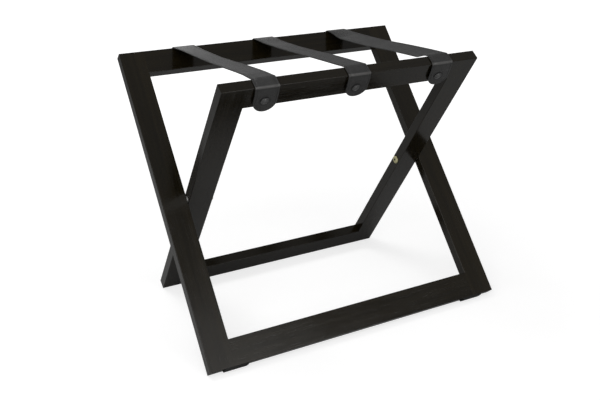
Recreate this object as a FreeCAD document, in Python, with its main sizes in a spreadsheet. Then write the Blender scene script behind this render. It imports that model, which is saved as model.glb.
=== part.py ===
import FreeCAD, Part
import Sketcher
import os

# Folding luggage bench: two flat bar frames crossed like scissors, tied at the top by three straps.
# Millimetres. X runs along the rails, Y to the back, Z up; the origin is on the floor, in the middle.
# Each frame is drawn upright about its pivot axis and then leaned over by its Placement.

doc = FreeCAD.newDocument("LuggageBench")
sheet = doc.addObject("Spreadsheet::Sheet", "Sizes")

driving_sizes = [
    # name, value, meaning
    ("frame_width", 611, "outer frame over its legs"),
    ("leg_length", 631, "every leg, end to end"),
    ("bar_width", 48, "wide face of a leg or rail"),
    ("bar_thickness", 20, "thin face of a leg or rail"),
    ("edge_round", 1, "rounding run along every open edge of a frame"),
    ("side_gap", 1.5, "between the legs of the two frames"),
    ("lean_angle", 38.5, "each frame from the vertical, in degrees"),
    ("tenon_length", 50, "loose tenon, half in the leg and half in the rail"),
    ("tenon_width", 30, "loose tenon, along the leg"),
    ("tenon_thickness", 8, "loose tenon"),
    ("tenon_relief", 1, "spare depth past each end of a tenon"),
    ("shoulder_diameter", 8, "plain part of a pivot bolt, which the inner leg turns on"),
    ("pivot_clearance", 0.05, "radial, shoulder in its bore"),
    ("thread_diameter", 6, "threaded end of a pivot bolt"),
    ("thread_length", 20, "threaded end of a pivot bolt"),
    ("head_diameter", 16, "pivot bolt head"),
    ("head_height", 2.6, "pivot bolt head"),
    ("head_bevel", 0.8, "rim of the bolt head"),
    ("head_clearance", 0.3, "under the bolt head, so that the leg turns"),
    ("socket_width", 5, "hexagon socket across its flats"),
    ("socket_depth", 1.8, "hexagon socket"),
    ("insert_diameter", 11, "threaded insert in the outer leg"),
    ("insert_length", 24, "threaded insert in the outer leg"),
    ("washer_diameter", 18, "spacer washer in the side gap"),
    ("washer_clearance", 0.1, "on each face of the spacer washer and round its bore"),
    ("foot_length", 46, "glide pad"),
    ("foot_width", 16, "glide pad"),
    ("foot_thickness", 3, "glide pad"),
    ("foot_corner", 3, "corners of a glide pad in plan"),
    ("foot_bevel", 1, "lower rim of a glide pad"),
    ("foot_inset", 50, "side of the frame to the middle of a pad"),
    ("strap_width", 44, "strap"),
    ("strap_thickness", 2, "two layers stitched together"),
    ("strap_side_gap", 11, "end of the inner top rail to the edge of the first strap"),
    ("strap_clearance", 0.3, "strap to the rail it is bent over"),
    ("front_tongue_length", 54, "rail top face to the tip of the front tongue"),
    ("rear_tongue_length", 42, "rail top face to the tip of the rear tongue"),
    ("tongue_tip_flat", 0.6, "straight part left between the rounded corners of a tongue"),
    ("tongue_flare", 15, "how far the tongue leaves the rail face, in degrees"),
    ("tongue_bend", 14, "radius where the tongue turns back along the face"),
    ("tongue_standoff", 3.3, "rail face to the back of the tongue, at the snap"),
    ("front_snap_drop", 29, "rail top face to the front snap axis"),
    ("rear_snap_drop", 22, "rail top face to the rear snap axis"),
    ("snap_play", 0.1, "strap to the snap parts that clamp it"),
    ("cap_diameter", 15, "snap cap"),
    ("cap_height", 2.8, "snap cap"),
    ("cap_bevel", 1.8, "rim of the snap cap"),
    ("post_diameter", 4, "snap post through the strap"),
    ("post_clearance", 0.3, "radial, snap post in the strap"),
    ("socket_ring", 11, "snap socket, outside diameter"),
    ("socket_bore", 7.2, "snap socket, inside diameter"),
    ("socket_roof", 0.5, "snap socket, closed end"),
    ("stud_flange", 10, "snap stud, flange diameter"),
    ("stud_flange_height", 0.8, "snap stud, flange"),
    ("stud_head", 6.8, "snap stud, head diameter"),
    ("stud_rise", 2.4, "rail face to the top of the stud"),
    ("stud_lift", 0.2, "stud flange to the socket ring"),
    ("screw_diameter", 3.2, "wood screw of the snap stud"),
    ("screw_length", 13, "wood screw of the snap stud"),
]
for row, (alias, value, meaning) in enumerate(driving_sizes, start=1):
    sheet.set(f"A{row}", meaning)
    sheet.set(f"B{row}", str(value))
    sheet.setAlias(f"B{row}", alias)

# Sizes that follow from the driving ones. Distances along a frame are measured from the pivot,
# distances out of it from the middle of its bars.
derived_sizes = [
    ("half_leg", "leg_length / 2", "pivot to either end of a leg"),
    ("half_bar", "bar_thickness / 2", "middle of a bar to its wide face"),
    ("inner_width", "frame_width - 2 * bar_width - 2 * side_gap", "inner frame over its legs"),
    (
        "strap_pitch",
        "inner_width / 2 - bar_width - strap_side_gap - strap_width / 2",
        "middle of one strap to the middle of the next",
    ),
    (
        "pivot_height",
        "(half_leg + foot_thickness) * cos(lean_angle) + (foot_width / 2 - foot_bevel) * sin(lean_angle)",
        "floor to the pivot axis",
    ),
    ("strap_hug", "edge_round + strap_clearance", "inside radius of a strap bent over an edge"),
    ("strap_lift", "half_leg + strap_clearance", "underside of the strap along the rail's top"),
    (
        "span_height",
        "pivot_height + (half_leg - edge_round) * cos(lean_angle)"
        " + (half_bar - edge_round) * sin(lean_angle) + strap_hug",
        "floor to the underside of the taut straps",
    ),
    (
        "crest_out",
        "(strap_lift * cos(lean_angle) + pivot_height - span_height) / sin(lean_angle)",
        "where the underside of a strap turns level",
    ),
    (
        "crest_top_out",
        "crest_out - strap_thickness * (1 - cos(lean_angle)) / sin(lean_angle)",
        "where the top of a strap turns level",
    ),
    (
        "fold_out",
        "half_bar - edge_round + strap_hug * (1 - sin(tongue_flare)) / cos(tongue_flare)",
        "where the underside of a strap turns down",
    ),
    (
        "fold_top_out",
        "fold_out + strap_thickness * (1 - sin(tongue_flare)) / cos(tongue_flare)",
        "where the top of a strap turns down",
    ),
    ("tongue_back", "half_bar + tongue_standoff", "back of the tongue"),
    (
        "knee_along",
        "half_leg - edge_round"
        " + (strap_hug - (tongue_standoff + edge_round) * cos(tongue_flare)) / sin(tongue_flare)",
        "where the back of the tongue turns along the rail",
    ),
    (
        "knee_top_along",
        "knee_along + strap_thickness * tan(tongue_flare / 2)",
        "where the front of the tongue turns along the rail",
    ),
    ("tongue_round", "(strap_width - tongue_tip_flat) / 2", "corners of a tongue"),
    ("front_tip_along", "half_leg - front_tongue_length", "end of the front tongue"),
    ("rear_tip_along", "half_leg - rear_tongue_length", "end of the rear tongue"),
    ("front_snap_along", "half_leg - front_snap_drop", "front snap axis"),
    ("rear_snap_along", "half_leg - rear_snap_drop", "rear snap axis"),
]
first_row = len(driving_sizes) + 2
for row, (alias, formula, meaning) in enumerate(derived_sizes, start=first_row):
    sheet.set(f"A{row}", meaning)
    sheet.set(f"B{row}", f"={formula}")
    sheet.setAlias(f"B{row}", alias)
doc.recompute()


def cell(alias):
    return f"Sizes.{alias}"


half_leg = cell("half_leg")
half_bar = cell("half_bar")
inner_width = cell("inner_width")
frames = {
    # frame: overall width, lean about +X, direction of its outside face along Y, place of its top rail
    "outer": {"width": cell("frame_width"), "lean": "-Sizes.lean_angle", "outside": 1, "top": "rear"},
    "inner": {"width": inner_width, "lean": "Sizes.lean_angle", "outside": -1, "top": "front"},
}
sides = (("left", -1), ("right", 1))


def lean_over(piece, frame):
    """Bind a piece's Placement to its frame's lean about the pivot axis."""
    lean = frames[frame]["lean"]
    formula = f"placement(vector(0; 0; Sizes.pivot_height); rotation(vector(1; 0; 0); {lean}))"
    piece.setExpression("Placement", formula)


def new_body(name):
    body = doc.addObject("PartDesign::Body", name)
    body.Label = name
    body.AllowCompound = True
    return body


def origin_plane(body, role):
    for feature in body.Origin.OriginFeatures:
        if feature.Role == role:
            return feature
    raise ValueError(role)


def new_sketch(body, name, role, offset=("0", "0", "0")):
    """A sketch on one of the body's own origin planes, moved by formulas in the sketch's axes."""
    sketch = body.newObject("Sketcher::SketchObject", name)
    sketch.AttachmentSupport = [(origin_plane(body, role), "")]
    sketch.MapMode = "FlatFace"
    for axis, formula in zip("xyz", offset):
        if formula != "0":
            sketch.setExpression(f"AttachmentOffset.Base.{axis}", formula)
    return sketch


def pin_vertex(sketch, line, end, x_formula, y_formula):
    """Fix one vertex of a sketch by two formulas; a zero puts it on the axis."""
    for kind, formula, axis in (("DistanceX", x_formula, -2), ("DistanceY", y_formula, -1)):
        if formula == "0":
            sketch.addConstraint(Sketcher.Constraint("PointOnObject", line, end, axis))
            continue
        value = float(sketch.evalExpression(formula))
        index = sketch.addConstraint(Sketcher.Constraint(kind, -1, 1, line, end, value))
        sketch.setExpression(f"Constraints[{index}]", formula)


def draw_outline(sketch, corners):
    """A closed outline of straight lines, every corner given by two formulas."""
    points = []
    for x_formula, y_formula in corners:
        x = float(sketch.evalExpression(x_formula))
        y = float(sketch.evalExpression(y_formula))
        points.append(FreeCAD.Vector(x, y, 0))
    first = sketch.GeometryCount
    count = len(points)
    for i in range(count):
        sketch.addGeometry(Part.LineSegment(points[i], points[(i + 1) % count]), False)
    for i in range(count):
        following = first + (i + 1) % count
        sketch.addConstraint(Sketcher.Constraint("Coincident", first + i, 2, following, 1))
        pin_vertex(sketch, first + i, 1, *corners[i])


def draw_rectangle(sketch, left, bottom, right, top):
    draw_outline(sketch, [(left, bottom), (right, bottom), (right, top), (left, top)])


def draw_circle(sketch, x_formula, y_formula, diameter_formula):
    x = float(sketch.evalExpression(x_formula))
    y = float(sketch.evalExpression(y_formula))
    radius = float(sketch.evalExpression(diameter_formula)) / 2
    circle = Part.Circle(FreeCAD.Vector(x, y, 0), FreeCAD.Vector(0, 0, 1), radius)
    index = sketch.addGeometry(circle, False)
    pin_vertex(sketch, index, 3, x_formula, y_formula)
    bound = sketch.addConstraint(Sketcher.Constraint("Diameter", index, 2 * radius))
    sketch.setExpression(f"Constraints[{bound}]", diameter_formula)


def pad(body, sketch, name, length, midplane=False, backwards=False):
    feature = body.newObject("PartDesign::Pad", name)
    feature.Profile = sketch
    feature.setExpression("Length", length)
    feature.Midplane = midplane
    feature.Reversed = backwards
    doc.recompute()
    return feature


def revolve(body, sketch, name, axis):
    feature = body.newObject("PartDesign::Revolution", name)
    feature.Profile = sketch
    feature.ReferenceAxis = (sketch, [axis])
    feature.Angle = 360
    doc.recompute()
    return feature


def pick_edges(shape, test):
    return [f"Edge{i}" for i, edge in enumerate(shape.Edges, start=1) if test(edge)]


def round_edges(body, base, name, radius, test):
    feature = body.newObject("PartDesign::Fillet", name)
    feature.Base = (base, pick_edges(base.Shape, test))
    feature.setExpression("Radius", radius)
    doc.recompute()
    return feature


def runs_along(edge, axis):
    """True for a straight edge parallel to one axis of the piece's own frame."""
    if edge.Curve.TypeId != "Part::GeomLine":
        return False
    direction = edge.Vertexes[-1].Point.sub(edge.Vertexes[0].Point)
    return abs(direction.normalize().dot(axis)) > 0.999


def box_between(name, low, high):
    """A box whose two corners are formulas."""
    box = doc.addObject("Part::Box", name)
    for axis, dimension, low_side, high_side in zip("xyz", ("Length", "Width", "Height"), low, high):
        box.setExpression(f"Placement.Base.{axis}", low_side)
        box.setExpression(dimension, f"({high_side}) - ({low_side})")
    return box


# ---- frames -----------------------------------------------------------------------------------


def frame_blank(frame):
    """The glued-up frame with its rounding already run along all of its open edges."""
    width = frames[frame]["width"]
    body = new_body(f"{frame}_blank")
    outline = new_sketch(body, f"{frame}_blank_outline", "XZ_Plane")
    draw_rectangle(outline, f"-{width} / 2", f"-{half_leg}", f"{width} / 2", half_leg)
    opening_x = f"({width} / 2 - Sizes.bar_width)"
    opening_z = f"({half_leg} - Sizes.bar_width)"
    draw_rectangle(outline, f"-{opening_x}", f"-{opening_z}", opening_x, opening_z)
    solid = pad(body, outline, f"{frame}_blank_pad", cell("bar_thickness"), midplane=True)
    through = FreeCAD.Vector(0, 1, 0)
    round_edges(
        body, solid, f"{frame}_blank_round", cell("edge_round"), lambda edge: not runs_along(edge, through)
    )
    return body


def tenon_set(name, frame, length):
    """A loose tenon at each corner of a frame, half in the leg and half in the rail."""
    width = frames[frame]["width"]
    body = new_body(name)
    joint_x = f"({width} / 2 - Sizes.bar_width)"
    layout = new_sketch(body, f"{name}_layout", "YZ_Plane", ("0", "0", joint_x))
    for rail in (-1, 1):
        middle = f"{rail} * ({half_leg} - Sizes.bar_width / 2)"
        low, high = f"({middle} - Sizes.tenon_width / 2)", f"({middle} + Sizes.tenon_width / 2)"
        draw_rectangle(layout, "-Sizes.tenon_thickness / 2", low, "Sizes.tenon_thickness / 2", high)
    blocks = pad(body, layout, f"{name}_blocks", length, midplane=True)
    mirror_sides(body, blocks, f"{name}_both_sides")
    return body


def mirror_sides(body, feature, name):
    mirrored = body.newObject("PartDesign::Mirrored", name)
    mirrored.Originals = [feature]
    mirrored.MirrorPlane = (origin_plane(body, "YZ_Plane"), [""])
    body.Tip = mirrored
    doc.recompute()
    return mirrored


def frame_tenons(frame):
    body = tenon_set(f"{frame}_tenons", frame, cell("tenon_length"))
    lean_over(body, frame)
    return body


def frame_mortises(frame):
    cut_length = "(Sizes.tenon_length + 2 * Sizes.tenon_relief)"
    return tenon_set(f"{frame}_mortises", frame, cut_length)


def pivot_bores(frame):
    """Through bores for the bolt shoulders, or blind ones for the inserts."""
    width = frames[frame]["width"]
    body = new_body(f"{frame}_pivot_bores")
    face_x = f"({width} / 2 - Sizes.bar_width)"
    layout = new_sketch(body, f"{frame}_pivot_layout", "YZ_Plane", ("0", "0", face_x))
    if frame == "inner":
        diameter = "(Sizes.shoulder_diameter + 2 * Sizes.pivot_clearance)"
        depth = cell("bar_width")
    else:
        diameter = cell("insert_diameter")
        depth = cell("insert_length")
    draw_circle(layout, "0", "0", diameter)
    drill = pad(body, layout, f"{frame}_pivot_drill", depth)
    mirror_sides(body, drill, f"{frame}_pivot_both_sides")
    return body


def repeat_for_straps(body, feature, sketch, name):
    """Copies a snap part to the other two straps."""
    pattern = body.newObject("PartDesign::LinearPattern", name)
    pattern.Originals = [feature]
    pattern.Direction = (sketch, ["H_Axis"])
    pattern.setExpression("Length", "2 * Sizes.strap_pitch")
    pattern.Occurrences = 3
    body.Tip = pattern
    doc.recompute()
    return pattern


def snap_sketch(body, name, frame):
    """Sketch through the snap axis of the left strap, square to the legs of the frame."""
    offset = ("-Sizes.strap_pitch", "0", cell(f"{frames[frame]['top']}_snap_along"))
    return new_sketch(body, name, "XY_Plane", offset)


def outward(frame, height):
    """Formula for a height above the rail's outside face, along Y of the frame."""
    return f"({frames[frame]['outside']} * ({half_bar} + {height}))"


def screw_pilots(frame):
    body = new_body(f"{frame}_screw_pilots")
    profile = snap_sketch(body, f"{frame}_pilot_profile", frame)
    radius = "Sizes.screw_diameter / 2"
    steps = [
        ("0", "-Sizes.screw_length"),
        (radius, "-Sizes.screw_length"),
        (radius, "0"),
        ("0", "0"),
    ]
    draw_outline(profile, [(step, outward(frame, height)) for step, height in steps])
    hole = revolve(body, profile, f"{frame}_pilot", "V_Axis")
    repeat_for_straps(body, hole, profile, f"{frame}_pilots")
    return body


def frame_bars(frame):
    """Two legs and two rails, cut from the rounded blank and bored for what they carry."""
    width = frames[frame]["width"]
    blank = frame_blank(frame)
    bores = [frame_mortises(frame), pivot_bores(frame), screw_pilots(frame)]
    tools = doc.addObject("Part::MultiFuse", f"{frame}_bores")
    tools.Shapes = bores
    joint_x = f"({width} / 2 - Sizes.bar_width)"
    outer_x = f"({width} / 2)"
    inner_z = f"({half_leg} - Sizes.bar_width)"
    front, back = f"-{half_bar}", half_bar
    regions = {
        f"{frame}_leg_left": ((f"-{outer_x}", front, f"-{half_leg}"), (f"-{joint_x}", back, half_leg)),
        f"{frame}_leg_right": ((joint_x, front, f"-{half_leg}"), (outer_x, back, half_leg)),
        f"{frame}_top_rail": ((f"-{joint_x}", front, inner_z), (joint_x, back, half_leg)),
        f"{frame}_bottom_rail": ((f"-{joint_x}", front, f"-{half_leg}"), (joint_x, back, f"-{inner_z}")),
    }
    bars = []
    for name, (low, high) in regions.items():
        region = box_between(f"{name}_region", low, high)
        bar = doc.addObject("Part::MultiCommon", f"{name}_blank")
        bar.Shapes = [blank, region]
        bored = doc.addObject("Part::Cut", name)
        bored.Base = bar
        bored.Tool = tools
        bored.Label = name
        lean_over(bored, frame)
        bars.append(bored)
    doc.recompute()
    return bars


# ---- pivot ------------------------------------------------------------------------------------

inner_face = f"({inner_width} / 2 - Sizes.bar_width)"
outer_face = "(Sizes.frame_width / 2 - Sizes.bar_width)"
head_seat = f"({inner_face} - Sizes.head_clearance)"


def signed(sign, formula):
    return f"({sign} * {formula})"


def pivot_bolt(side, sign):
    """Shoulder bolt: head on the inside of the inner leg, thread in the outer leg's insert."""
    name = f"pivot_bolt_{side}"
    body = new_body(name)
    profile = new_sketch(body, f"{name}_profile", "XY_Plane")
    head_top = f"({head_seat} - Sizes.head_height)"
    thread_end = f"({outer_face} + Sizes.thread_length)"
    steps = [
        (head_top, "0"),
        (thread_end, "0"),
        (thread_end, "Sizes.thread_diameter / 2"),
        (outer_face, "Sizes.thread_diameter / 2"),
        (outer_face, "Sizes.shoulder_diameter / 2"),
        (head_seat, "Sizes.shoulder_diameter / 2"),
        (head_seat, "Sizes.head_diameter / 2"),
        (f"({head_top} + Sizes.head_bevel)", "Sizes.head_diameter / 2"),
        (head_top, "Sizes.head_diameter / 2 - Sizes.head_bevel"),
    ]
    draw_outline(profile, [(signed(sign, x), y) for x, y in steps])
    turned = revolve(body, profile, f"{name}_turned", "H_Axis")
    socket = new_sketch(body, f"{name}_socket", "YZ_Plane", ("0", "0", signed(sign, head_top)))
    corners = []
    for i in range(6):
        reach = "(Sizes.socket_width / sqrt(3))"
        corners.append((f"({reach} * cos({60 * i + 10}))", f"({reach} * sin({60 * i + 10}))"))
    draw_outline(socket, corners)
    cut = body.newObject("PartDesign::Pocket", f"{name}_hexagon")
    cut.Profile = socket
    cut.setExpression("Length", cell("socket_depth"))
    cut.Reversed = sign > 0
    doc.recompute()
    if not cut.Shape.Volume < turned.Shape.Volume - 1:
        raise RuntimeError(f"the hexagon socket of {name} cut nothing")
    lean_over(body, "outer")
    return body


def threaded_insert(side, sign):
    name = f"threaded_insert_{side}"
    body = new_body(name)
    profile = new_sketch(body, f"{name}_profile", "XY_Plane")
    nose = f"({outer_face} + Sizes.insert_length)"
    steps = [
        (outer_face, "Sizes.thread_diameter / 2"),
        (nose, "Sizes.thread_diameter / 2"),
        (nose, "Sizes.insert_diameter / 2"),
        (outer_face, "Sizes.insert_diameter / 2"),
    ]
    draw_outline(profile, [(signed(sign, x), y) for x, y in steps])
    revolve(body, profile, f"{name}_turned", "H_Axis")
    lean_over(body, "outer")
    return body


def spacer_washer(side, sign):
    name = f"spacer_washer_{side}"
    body = new_body(name)
    near = f"({outer_face} - Sizes.side_gap + Sizes.washer_clearance)"
    layout = new_sketch(body, f"{name}_layout", "YZ_Plane", ("0", "0", signed(sign, near)))
    draw_circle(layout, "0", "0", cell("washer_diameter"))
    draw_circle(layout, "0", "0", "(Sizes.shoulder_diameter + 2 * Sizes.washer_clearance)")
    thickness = "(Sizes.side_gap - Sizes.washer_clearance)"
    pad(body, layout, f"{name}_disc", thickness, backwards=sign < 0)
    lean_over(body, "outer")
    return body


# ---- feet -------------------------------------------------------------------------------------


def foot(place, frame, side, sign):
    """Glide pad under the bottom rail, near the corner of its frame."""
    width = frames[frame]["width"]
    name = f"{place}_foot_{side}"
    body = new_body(name)
    middle = signed(sign, f"({width} / 2 - Sizes.foot_inset)")
    plan = new_sketch(body, f"{name}_plan", "XY_Plane", (middle, "0", f"-{half_leg}"))
    half_length, half_width = "(Sizes.foot_length / 2)", "(Sizes.foot_width / 2)"
    draw_rectangle(plan, f"-{half_length}", f"-{half_width}", half_length, half_width)
    block = pad(body, plan, f"{name}_block", cell("foot_thickness"), backwards=True)
    upright = FreeCAD.Vector(0, 0, 1)
    corners = round_edges(
        body, block, f"{name}_corners", cell("foot_corner"), lambda edge: runs_along(edge, upright)
    )
    sole = corners.Shape.BoundBox.ZMin
    bevel = body.newObject("PartDesign::Chamfer", f"{name}_bevel")
    bevel.Base = (corners, pick_edges(corners.Shape, lambda edge: edge.BoundBox.ZMax < sole + 0.01))
    bevel.setExpression("Size", cell("foot_bevel"))
    doc.recompute()
    lean_over(body, frame)
    return body


# ---- straps and snaps -------------------------------------------------------------------------


def on_rail(along, out, front):
    """Formulas for Y and Z of a point given along a leaning frame and out of its middle."""
    reach = f"({along} * sin(Sizes.lean_angle) + {out} * cos(Sizes.lean_angle))"
    height = f"(Sizes.pivot_height + {along} * cos(Sizes.lean_angle) - {out} * sin(Sizes.lean_angle))"
    return (f"-{reach}" if front else reach), height


def edges_at(shape, corner):
    """Edges across the strap that pass through one corner of its side view."""
    y = float(sheet.evalExpression(corner[0]))
    z = float(sheet.evalExpression(corner[1]))
    across = FreeCAD.Vector(1, 0, 0)
    found = []
    for i, edge in enumerate(shape.Edges, start=1):
        middle = edge.CenterOfMass
        if runs_along(edge, across) and abs(middle.y - y) < 0.01 and abs(middle.z - z) < 0.01:
            found.append(f"Edge{i}")
    return found


def strap(name, order):
    """Strap bent over both top rails, its tongues standing off the outside faces to the snaps."""
    body = new_body(name)
    corners = ["tip", "knee", "fold", "crest"]
    lower, upper = cell("strap_lift"), "(Sizes.strap_lift + Sizes.strap_thickness)"
    back_face, front_face = cell("tongue_back"), "(Sizes.tongue_back + Sizes.strap_thickness)"

    def one_end(place, front):
        tip = cell(f"{place}_tip_along")
        under = [(tip, back_face), (cell("knee_along"), back_face)]
        under += [(lower, cell("fold_out")), (lower, cell("crest_out"))]
        over = [(tip, front_face), (cell("knee_top_along"), front_face)]
        over += [(upper, cell("fold_top_out")), (upper, cell("crest_top_out"))]
        return [on_rail(*point, front) for point in under], [on_rail(*point, front) for point in over]

    front_under, front_top = one_end("front", True)
    rear_under, rear_top = one_end("rear", False)
    middle = f"({order} * Sizes.strap_pitch)"
    side_view = new_sketch(body, f"{name}_side_view", "YZ_Plane", ("0", "0", middle))
    draw_outline(side_view, front_under + rear_under[::-1] + rear_top + front_top[::-1])
    shape = pad(body, side_view, f"{name}_width", cell("strap_width"), midplane=True)

    bends = [
        ("under_edges", front_under, rear_under, ("fold", "crest"), "Sizes.strap_hug"),
        ("over_edges", front_top, rear_top, ("fold", "crest"), "Sizes.strap_hug + Sizes.strap_thickness"),
        ("under_knee", front_under, rear_under, ("knee",), "Sizes.tongue_bend + Sizes.strap_thickness"),
        ("over_knee", front_top, rear_top, ("knee",), "Sizes.tongue_bend"),
    ]
    for bend, front, rear, at, radius in bends:
        picked = []
        for corner in at:
            for side_points in (front, rear):
                picked += edges_at(shape.Shape, side_points[corners.index(corner)])
        if len(picked) != 2 * len(at):
            raise RuntimeError(f"{name} has {len(picked)} edges to bend for {bend}")
        feature = body.newObject("PartDesign::Fillet", f"{name}_{bend}")
        feature.Base = (shape, picked)
        feature.setExpression("Radius", radius)
        doc.recompute()
        shape = feature

    thickness = float(sheet.get("strap_thickness"))

    def tongue_corner(edge):
        return edge.Curve.TypeId == "Part::GeomLine" and abs(edge.Length - thickness) < 0.01

    shape = round_edges(body, shape, f"{name}_tongues", cell("tongue_round"), tongue_corner)
    for place, front in (("front", True), ("rear", False)):
        axis_y, axis_z = on_rail(cell(f"{place}_snap_along"), "0", front)
        hole = body.newObject("Sketcher::SketchObject", f"{name}_{place}_hole")
        hole.AttachmentSupport = [(origin_plane(body, "XY_Plane"), "")]
        hole.MapMode = "FlatFace"
        turn = "90 + Sizes.lean_angle" if front else "-90 - Sizes.lean_angle"
        facing = f"rotation(vector(1; 0; 0); {turn})"
        seat = f"placement(vector({middle}; {axis_y}; {axis_z}); {facing})"
        hole.setExpression("AttachmentOffset", seat)
        draw_circle(hole, "0", "0", "(Sizes.post_diameter + 2 * Sizes.post_clearance)")
        before = shape.Shape.Volume
        shape = body.newObject("PartDesign::Pocket", f"{name}_{place}_punch")
        shape.Profile = hole
        shape.setExpression("Length", "Sizes.tongue_back + 2 * Sizes.strap_thickness")
        shape.Reversed = True
        doc.recompute()
        if not shape.Shape.Volume < before - 10:
            raise RuntimeError(f"{name} was not punched at its {place} end")
    return body


ring_foot = "Sizes.stud_flange_height + Sizes.stud_lift"
ring_top = "Sizes.tongue_standoff - Sizes.snap_play"
roof_under = f"{ring_top} - Sizes.socket_roof"
cap_seat = "Sizes.tongue_standoff + Sizes.strap_thickness + Sizes.snap_play"


def turned_snap_part(name, frame, steps):
    """Turns an outline of radii and heights above the rail face about the snap axes."""
    body = new_body(name)
    profile = snap_sketch(body, f"{name}_profile", frame)
    draw_outline(profile, [(radius, outward(frame, height)) for radius, height in steps])
    turned = revolve(body, profile, f"{name}_turned", "V_Axis")
    repeat_for_straps(body, turned, profile, f"{name}_row")
    lean_over(body, frame)
    return body


def snap_caps(place, frame):
    """Cap with its rivet post, put through the tongue from outside: one for each strap."""
    cap_top = f"{cap_seat} + Sizes.cap_height"
    steps = [
        ("0", roof_under),
        ("Sizes.post_diameter / 2", roof_under),
        ("Sizes.post_diameter / 2", cap_seat),
        ("Sizes.cap_diameter / 2", cap_seat),
        ("Sizes.cap_diameter / 2", f"{cap_top} - Sizes.cap_bevel / 2"),
        ("Sizes.cap_diameter / 2 - Sizes.cap_bevel", cap_top),
        ("0", cap_top),
    ]
    return turned_snap_part(f"{place}_snap_caps", frame, steps)


def snap_sockets(place, frame):
    """Socket riveted on the post behind the tongue, open towards the stud: one for each strap."""
    steps = [
        ("Sizes.post_diameter / 2", roof_under),
        ("Sizes.socket_bore / 2", roof_under),
        ("Sizes.socket_bore / 2", ring_foot),
        ("Sizes.socket_ring / 2", ring_foot),
        ("Sizes.socket_ring / 2", ring_top),
        ("Sizes.post_diameter / 2", ring_top),
    ]
    return turned_snap_part(f"{place}_snap_sockets", frame, steps)


def snap_studs(place, frame):
    """Stud with its wood screw, driven into the outside face of the rail: one for each strap."""
    steps = [
        ("0", "-Sizes.screw_length"),
        ("Sizes.screw_diameter / 2", "-Sizes.screw_length"),
        ("Sizes.screw_diameter / 2", "0"),
        ("Sizes.stud_flange / 2", "0"),
        ("Sizes.stud_flange / 2", "Sizes.stud_flange_height"),
        ("Sizes.stud_head / 2", "Sizes.stud_flange_height"),
        ("Sizes.stud_head / 2", "Sizes.stud_rise"),
        ("0", "Sizes.stud_rise"),
    ]
    return turned_snap_part(f"{place}_snap_studs", frame, steps)


# ---- the whole bench --------------------------------------------------------------------------

pieces = []
for frame in frames:
    pieces += frame_bars(frame)
    pieces.append(frame_tenons(frame))
for side, sign in sides:
    pieces.append(pivot_bolt(side, sign))
    pieces.append(threaded_insert(side, sign))
    pieces.append(spacer_washer(side, sign))
    pieces.append(foot("front", "outer", side, sign))
    pieces.append(foot("rear", "inner", side, sign))
for name, order in (("strap_left", -1), ("strap_middle", 0), ("strap_right", 1)):
    pieces.append(strap(name, order))
for place, frame in (("front", "inner"), ("rear", "outer")):
    pieces.append(snap_caps(place, frame))
    pieces.append(snap_sockets(place, frame))
    pieces.append(snap_studs(place, frame))
doc.recompute()

for thing in doc.Objects:
    if "Invalid" in thing.State or "Error" in thing.State:
        raise RuntimeError(f"{thing.Name} did not recompute: {thing.State}")
os.makedirs("parts", exist_ok=True)
for piece in pieces:
    shape = piece.Shape
    if shape.isNull() or not shape.isValid() or not shape.Solids:
        raise RuntimeError(f"{piece.Label} has no valid solid")
    shape.exportStep(f"parts/{piece.Label}.step")
    box = shape.BoundBox
    low = f"{box.XMin:.1f} {box.YMin:.1f} {box.ZMin:.1f}"
    high = f"{box.XMax:.1f} {box.YMax:.1f} {box.ZMax:.1f}"
    print(f"{piece.Label}: {len(shape.Solids)} solids, {shape.Volume:.1f} mm3, from {low} to {high}")
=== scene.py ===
import bpy
from math import radians, sin, cos, tan, atan2, pi, hypot
from mathutils import Vector, Matrix


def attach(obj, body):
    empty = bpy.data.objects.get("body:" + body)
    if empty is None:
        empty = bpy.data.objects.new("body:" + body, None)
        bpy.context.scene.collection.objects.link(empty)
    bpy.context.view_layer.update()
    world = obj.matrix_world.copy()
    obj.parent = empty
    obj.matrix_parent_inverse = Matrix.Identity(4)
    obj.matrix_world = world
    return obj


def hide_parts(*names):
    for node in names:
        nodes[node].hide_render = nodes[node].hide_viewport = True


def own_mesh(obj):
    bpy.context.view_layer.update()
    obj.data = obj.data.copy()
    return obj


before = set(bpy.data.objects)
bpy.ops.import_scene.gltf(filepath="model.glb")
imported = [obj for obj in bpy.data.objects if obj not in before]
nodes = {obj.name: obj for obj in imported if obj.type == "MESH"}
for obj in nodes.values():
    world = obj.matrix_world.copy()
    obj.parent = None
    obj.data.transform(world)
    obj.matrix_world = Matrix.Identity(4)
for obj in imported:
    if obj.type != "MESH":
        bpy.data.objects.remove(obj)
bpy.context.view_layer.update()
scene = bpy.context.scene

# lengths in metres, repeated from the part's own named sizes
bench = {
    "lean": radians(38.5),
    "pivotHeight": 0.2536183,
    "halfLeg": 0.3155,  # pivot axis to the end of a leg
    "halfBar": 0.010,  # half a bar's thickness
    "barWidth": 0.048,
    "edgeRound": 0.001,
    "innerWidth": 0.512,  # inner frame over its legs
    "strapPitch": 0.175,
    "foldAngle": radians(70),
}
leanSin = sin(bench["lean"])
leanCos = cos(bench["lean"])
pickSlack = 0.0001  # when vertices and faces are picked by their place


def railPoint(along, out, front):
    # a point (y, z) given along a leaning frame and out of the middle of its bars
    y = along * leanSin + out * leanCos
    z = bench["pivotHeight"] + along * leanCos - out * leanSin
    return (-y if front else y), z


def deselectAll():
    if bpy.context.object and bpy.context.object.mode != "OBJECT":
        bpy.ops.object.mode_set(mode="OBJECT")
    bpy.ops.object.select_all(action="DESELECT")


def makeActive(piece):
    deselectAll()
    piece.select_set(True)
    bpy.context.view_layer.objects.active = piece


def applyAll(piece):
    makeActive(piece)
    for modifier in list(piece.modifiers):
        bpy.ops.object.modifier_apply(modifier=modifier.name)


def settle(piece):
    # puts the place, turn and size into the mesh
    makeActive(piece)
    bpy.ops.object.transform_apply(location=True, rotation=True, scale=True)


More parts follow.
